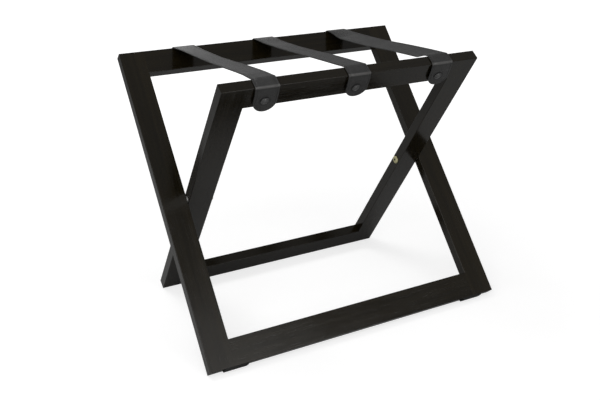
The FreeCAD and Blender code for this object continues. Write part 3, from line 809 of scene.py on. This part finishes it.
def stitchAt(x, y):
    # one stitch, a low pillow of thread with a few faces
    deselectAll()
    height = strapCut["thickness"] - seam["sink"]
    bpy.ops.mesh.primitive_uv_sphere_add(segments=6, ring_count=5, radius=0.5,
                                         location=(x, y, height))
    stitch = bpy.context.object
    stitch.rotation_euler = (radians(90), 0, 0)
    stitch.scale = (seam["thread"], seam["thread"], seam["stitch"])
    settle(stitch)
    stitch.data.materials.append(strapThread)
    return stitch


def stitchRow(x, start, stop):
    stitch = stitchAt(x, start + seam["pitch"] / 2)
    row = stitch.modifiers.new("row", "ARRAY")
    row.use_relative_offset = False
    row.use_constant_offset = True
    row.constant_offset_displace = (0, seam["pitch"], 0)
    row.count = max(1, round((stop - start) / seam["pitch"]))
    applyAll(stitch)
    return stitch


def stitchRound(middle, centre, radius):
    # half a turn of stitches round a tongue's end
    stitch = stitchAt(middle + radius, centre)
    bpy.ops.object.mode_set(mode="EDIT")
    bpy.ops.mesh.select_all(action="SELECT")
    bpy.ops.mesh.spin(steps=round(pi * radius / seam["pitch"]), dupli=True, angle=pi,
                      center=(middle, centre, 0), axis=(0, 0, 1))
    bpy.ops.object.mode_set(mode="OBJECT")
    return stitch


def easeStep(value):
    value = min(max(value, 0.0), 1.0)
    return value * value * (3 - 2 * value)


def spanHeight(facts, x, reach):
    # how a span rises, sags and twists between its two joints
    share = abs(reach) / jointReach
    ends = easeStep((1 - share) / spanCurve["frontEase" if reach > 0 else "rearEase"])
    level = easeStep(share / spanCurve["sagShare"])
    lift = facts["rise"] - (facts["rise"] + facts["sag"]) * (1 - level)
    toRear = easeStep(0.5 - reach / spanCurve["handOver"])
    left = 0.5 - (x - facts["middle"]) / strapCut["width"]
    front, rear = (edges[0] * left + edges[1] * (1 - left) for edges in facts["hang"])
    return ends * (lift - front * (1 - toRear) - rear * toRear)


def layStrap(piece, facts, place):
    # bends the flat piece: its Y becomes the way along the strap
    aside, off, short = facts["tip"]
    tip = strapReach["front"] - short
    snap = strapReach["front"] - strapCut["frontTongue"] + strapCut["frontSnap"]
    for vertex in piece.data.vertices:
        x, reach, height = vertex.co
        if place == "span":
            y, z = -reach, undersideHeight + height + spanHeight(facts, x, reach)
        else:
            y, z = alongRuns(strapRuns[place], reach, height, -1 if place == "front" else 1)
        if place == "front":
            x += aside * easeStep((reach - foldedReach) / (tip - foldedReach))
            curl = off * max(reach - snap, 0) ** 2 / (tip - snap) ** 2
            y -= curl * leanCos
            z -= curl * leanSin
        vertex.co = (x, y, z)
    outwardNormals(piece)
    smooth(piece, 40)


def strapSpan(name, facts):
    x = facts["middle"]
    side = strapCut["width"] / 2 - seam["inset"]
    end = jointReach - seam["endGap"]
    span = flatStrip(name + "Span", x, -jointReach, jointReach, False)
    joinInto(span, [stitchRow(x + sign * side, -end, end) for sign in (-1, 1)])
    layStrap(span, facts, "span")
    return span


def strapTongue(name, facts, place):
    x = facts["middle"]
    side = strapCut["width"] / 2 - seam["inset"]
    stop = strapReach[place] - (facts["tip"][2] if place == "front" else 0)
    label = name + place.capitalize() + "Tongue"
    tongue = flatStrip(label, x, jointReach, stop, True, bendRows(place))
    turnAt = stop - strapCut["endRound"]
    rows = [stitchRow(x + sign * side, jointReach, turnAt) for sign in (-1, 1)]
    rows.append(stitchRound(x, turnAt, strapCut["endRound"] - seam["inset"]))
    joinInto(tongue, rows)
    layStrap(tongue, facts, place)
    return tongue


def foldedAway(point):
    # a point of the inner frame once it is folded, in Y and Z
    angle = -bench["foldAngle"]
    y, z = point[0], point[1] - bench["pivotHeight"]
    return y * cos(angle) - z * sin(angle), bench["pivotHeight"] + y * sin(angle) + z * cos(angle)


middleHeight = undersideHeight + strapCut["thickness"] / 2
spanFront = Vector((0, -jointReach, middleHeight))
shift = spanFront - Vector((0, *foldedAway((-jointReach, middleHeight))))

for name, facts in straps.items():
    span = strapSpan(name, facts)
    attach(span, "outer_frame")
    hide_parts(facts["node"])
    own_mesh(span)
    for place, body in (("front", "inner_frame"), ("rear", "outer_frame")):
        tongue = strapTongue(name, facts, place)
        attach(tongue, body)
        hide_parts(facts["node"])


turnedSides = 48  # round a cap or a bolt head


def discUp(name, radius, depth):
    # a disc with its foot at the origin, axis along Z
    deselectAll()
    bpy.ops.mesh.primitive_cylinder_add(vertices=turnedSides, radius=radius, depth=depth,
                                        location=(0, 0, depth / 2))
    disc = bpy.context.object
    disc.name = name
    settle(disc)
    return disc


def selectEnd(piece, up):
    # the face on the axis that looks up (1) or down (-1)
    bpy.ops.object.mode_set(mode="EDIT")
    bpy.ops.mesh.select_mode(type="FACE")
    selectFaces(piece, lambda centre, normal: normal.z * up > 0.9
                and hypot(centre.x, centre.y) < pickSlack)


def insetSteps(steps):
    # inwards and up from the selected face, a ring at a time
    for amount, depth in steps:
        bpy.ops.mesh.inset(thickness=amount, depth=depth)


def growDown(narrower, length):
    # a narrower length of shank below the selected face
    bpy.ops.mesh.inset(thickness=narrower)
    bpy.ops.mesh.extrude_region_move(TRANSFORM_OT_translate={"value": (0, 0, -length)})


snapCap = {
    "radius": 0.0075,
    "seat": strapCut["standoff"] + strapCut["thickness"] + 0.0001,  # above the rail's face
    "rimHeight": 0.0011,
    # over the rolled rim, down into the groove, across it and up to the dome
    "rimSteps": ((0.00056, 0.00035), (0.00064, -0.00015), (0.0004, -0.0008), (0.0006, 0),
                 (0.0004, 0.0009)),
    "domeRise": 0.0015,
    "domeSteps": ((0.0009, 0.45), (0.0010, 0.28), (0.0011, 0.17), (0.0010, 0.08)),
    "postRadius": 0.002,
    "postLength": strapCut["thickness"] + 0.0006,
    "edgeRound": 0.00018,
}


def makeCap(name):
    facts = snapCap
    cap = discUp(name, facts["radius"], facts["rimHeight"])
    selectEnd(cap, 1)
    insetSteps(facts["rimSteps"])
    insetSteps((amount, facts["domeRise"] * share) for amount, share in facts["domeSteps"])
    selectEnd(cap, -1)
    growDown(facts["radius"] - facts["postRadius"], facts["postLength"])
    bpy.ops.object.mode_set(mode="OBJECT")
    roundEdges(cap, facts["edgeRound"], 50)
    smooth(cap, 50)
    cap.data.materials.append(finishes["blackEnamel"])
    return cap


def onRail(piece, x, along, height, front):
    # stands a piece made along Z on the outside face of a top rail
    y, z = railPoint(along, bench["halfBar"] + height, front)
    turn = radians(90) + bench["lean"]
    piece.location = (x, y, z)
    piece.rotation_euler = (turn if front else -turn, 0, 0)
    settle(piece)


for place, front, body in (("front", True, "inner_frame"), ("rear", False, "outer_frame")):
    caps = []
    for facts in straps.values():
        cap = makeCap(place + "SnapCaps")
        along = bench["halfLeg"] - strapCut[place + "Snap"]
        onRail(cap, facts["middle"], along, snapCap["seat"], front)
        caps.append(cap)
    row = caps[0]
    joinInto(row, caps[1:])
    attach(row, body)
    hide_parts(place + "_snap_caps")
print("snap caps seated")

pivotBolt = {
    "headRadius": 0.008,
    "headHeight": 0.0026,
    "wallHeight": 0.00143,  # straight side of the head
    "headSteps": ((0.0005, 0.00050), (0.0010, 0.00038), (0.0014, 0.00020), (0.0010, 0.00005)),
    "headSeat": bench["innerWidth"] / 2 - bench["barWidth"] - 0.0003,  # from the middle plane
    "shoulderRadius": 0.004,
    "shoulderEnd": bench["innerWidth"] / 2 + 0.0015,  # where the outer leg begins
    "threadRadius": 0.003,
    "threadLength": 0.020,
    "socketWidth": 0.005,  # across its flats
    "socketDepth": 0.0032,
    "shadeStart": 0.0004,  # below the top of the head, where the painted shade in the socket starts
    "hexTurn": radians(17),  # where the last turn of the key left the socket
    "edgeRound": 0.00015,
}


def makeBolt(name, sign):
    # grown from its head: the head faces the middle of the bench
    facts = pivotBolt
    bolt = discUp(name, facts["headRadius"], facts["wallHeight"])
    selectEnd(bolt, 1)
    insetSteps(facts["headSteps"])
    selectEnd(bolt, -1)
    growDown(facts["headRadius"] - facts["shoulderRadius"],
             facts["shoulderEnd"] - facts["headSeat"])
    growDown(facts["shoulderRadius"] - facts["threadRadius"], facts["threadLength"])
    deselectAll()
    top, key = facts["headHeight"], facts["socketDepth"]
    socketRadius = facts["socketWidth"] / 2 / cos(radians(30))
    bpy.ops.mesh.primitive_cylinder_add(vertices=6, radius=socketRadius, depth=2 * key,
                                        location=(0, 0, top))
    hexagon = bpy.context.object
    settle(hexagon)
    broach = bolt.modifiers.new("broach", "BOOLEAN")
    broach.object = hexagon
    broach.operation = "DIFFERENCE"
    broach.solver = "EXACT"
    applyAll(bolt)
    bpy.data.objects.remove(hexagon)
    roundEdges(bolt, facts["edgeRound"], 50)
    # painted shade darkens the inside of the socket
    for face in bolt.data.polygons:
        x, y, z = face.center
        if hypot(x, y) < socketRadius and top - key - pickSlack < z < top - facts["shadeStart"]:
            face.material_index = 1
    bolt.rotation_euler = (0, 0, facts["hexTurn"])
    settle(bolt)
    bolt.rotation_euler = (0, radians(-90) * sign, 0)
    bolt.location = (sign * facts["headSeat"], 0, bench["pivotHeight"])
    settle(bolt)
    smooth(bolt, 45)
    for finish in ("brassPlate", "paintedSocketShade"):
        bolt.data.materials.append(finishes[finish])
    return bolt


for side, sign in (("left", -1), ("right", 1)):
    bolt = makeBolt("pivotBolt" + side.capitalize(), sign)
    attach(bolt, "outer_frame")
    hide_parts("pivot_bolt_" + side)
print("pivot bolts in")

studio = {
    "floorSize": 14,
    "floorDrop": 0.0002,  # below the glide pads
    "floorColour": (0.47, 0.47, 0.47),
    "glowReach": (0.5, 2.2),  # from the bench, where the floor starts to pale and is white
    "glowLevel": (0.70, 1.0),
    "windowAim": (0.12, 0.985, 0.12),  # the bright part of the sky, behind the bench
    "windowEdge": (0.93, 1.0),
    "skyLevel": (0.24, 1.1),
}


def studioFloor():
    facts = studio
    deselectAll()
    bpy.ops.mesh.primitive_plane_add(size=facts["floorSize"], location=(0, 0, -facts["floorDrop"]))
    floor = bpy.context.object
    floor.name = "studioFloor"
    settle(floor)
    material, tree, shader = newMaterial(
        "paleFloor", Base_Color=facts["floorColour"], Roughness=0.8, Specular_IOR_Level=0.05
    )
    path = newNode(tree, "ShaderNodeLightPath", (-400, 500))
    reach = newNode(tree, "ShaderNodeVectorMath", (-700, 300), operation="LENGTH")
    tree.links.new(objectPlace(tree, (-900, 300)), reach.inputs[0])
    level = remap(tree, reach.outputs["Value"], *facts["glowReach"], *facts["glowLevel"],
                  (-400, 200))
    strength = maths(tree, "MULTIPLY", path.outputs["Is Camera Ray"], level, (-150, 300))
    glow = newNode(tree, "ShaderNodeEmission", (50, 300), Color=(1, 1, 1, 1))
    tree.links.new(strength, glow.inputs["Strength"])
    both = newNode(tree, "ShaderNodeAddShader", (400, 200))
    tree.links.new(shader.outputs[0], both.inputs[0])
    tree.links.new(glow.outputs[0], both.inputs[1])
    tree.links.new(both.outputs[0], tree.nodes["Material Output"].inputs["Surface"])
    floor.data.materials.append(material)


def studioWorld():
    world = bpy.data.worlds.new("studioWorld")
    scene.world = world
    world.use_nodes = True
    tree = world.node_tree
    path = newNode(tree, "ShaderNodeLightPath", (-600, 300))
    place = newNode(tree, "ShaderNodeTexCoord", (-1100, 0))
    aim = newNode(tree, "ShaderNodeVectorMath", (-900, 0), operation="DOT_PRODUCT")
    aim.inputs[1].default_value = studio["windowAim"]
    tree.links.new(place.outputs["Generated"], aim.inputs[0])
    sky = remap(tree, aim.outputs["Value"], *studio["windowEdge"], *studio["skyLevel"], (-650, 0))
    level = newNode(tree, "ShaderNodeMix", (-300, 100), data_type="FLOAT")
    tree.links.new(path.outputs["Is Camera Ray"], level.inputs[0])
    tree.links.new(sky, level.inputs[2])
    level.inputs[3].default_value = 1.0
    back = tree.nodes["Background"]
    back.inputs["Color"].default_value = (1, 1, 1, 1)
    tree.links.new(level.outputs[0], back.inputs["Strength"])


lamps = {
    # name: position, width, height, power in watts
    "keyPanel": ((-1.276, -1.633, 1.65), 1.8, 1.8, 22),
    "backPanel": ((-0.563, 0.975, 2.37), 1.2, 1.2, 17),
    "frontPanel": ((0.40, -2.15, 1.13), 1.6, 0.8, 11),
    "highPanel": ((0.22, -2.10, 1.78), 1.3, 0.8, 2),
}
lampTarget = Vector((0, 0, 0.25))


def studioLamps():
    for name, (place, width, height, power) in lamps.items():
        data = bpy.data.lights.new(name, "AREA")
        data.shape = "RECTANGLE"
        data.size = width
        data.size_y = height
        data.energy = power
        lamp = bpy.data.objects.new(name, data)
        scene.collection.objects.link(lamp)
        lamp.location = place
        lamp.rotation_euler = (lampTarget - Vector(place)).to_track_quat("-Z", "Y").to_euler()


cameraFit = {
    "azimuth": radians(-29.2065621),
    "elevation": radians(15.2712129),
    "roll": radians(-1.3634757),
    "place": (-0.7561796, -1.4620536, 0.7916383),
    "focalPixels": 868.628,
    "centre": (334.234, 132.844),
    "image": (600, 400),
    "sensor": 36,
    "clip": (0.05, 60),
}


def studioCamera():
    fit = cameraFit
    az, el, roll = fit["azimuth"], fit["elevation"], fit["roll"]
    back = Vector((sin(az) * cos(el), -cos(az) * cos(el), sin(el)))
    right = (-back).cross(Vector((0, 0, 1))).normalized()
    up = right.cross(-back)
    side = right * cos(roll) + up * sin(roll)
    top = -right * sin(roll) + up * cos(roll)
    data = bpy.data.cameras.new("benchCamera")
    camera = bpy.data.objects.new("benchCamera", data)
    scene.collection.objects.link(camera)
    turn = Matrix((side, top, back)).transposed().to_4x4()
    camera.matrix_world = Matrix.Translation(fit["place"]) @ turn
    width, height = fit["image"]
    data.sensor_width = fit["sensor"]
    data.lens = fit["focalPixels"] * fit["sensor"] / width
    data.shift_x = (width / 2 - fit["centre"][0]) / width
    data.shift_y = (fit["centre"][1] - height / 2) / width
    data.clip_start, data.clip_end = fit["clip"]
    scene.camera = camera


studioFloor()
studioWorld()
studioLamps()
studioCamera()
scene.view_settings.view_transform = "Standard"
print("stage set")
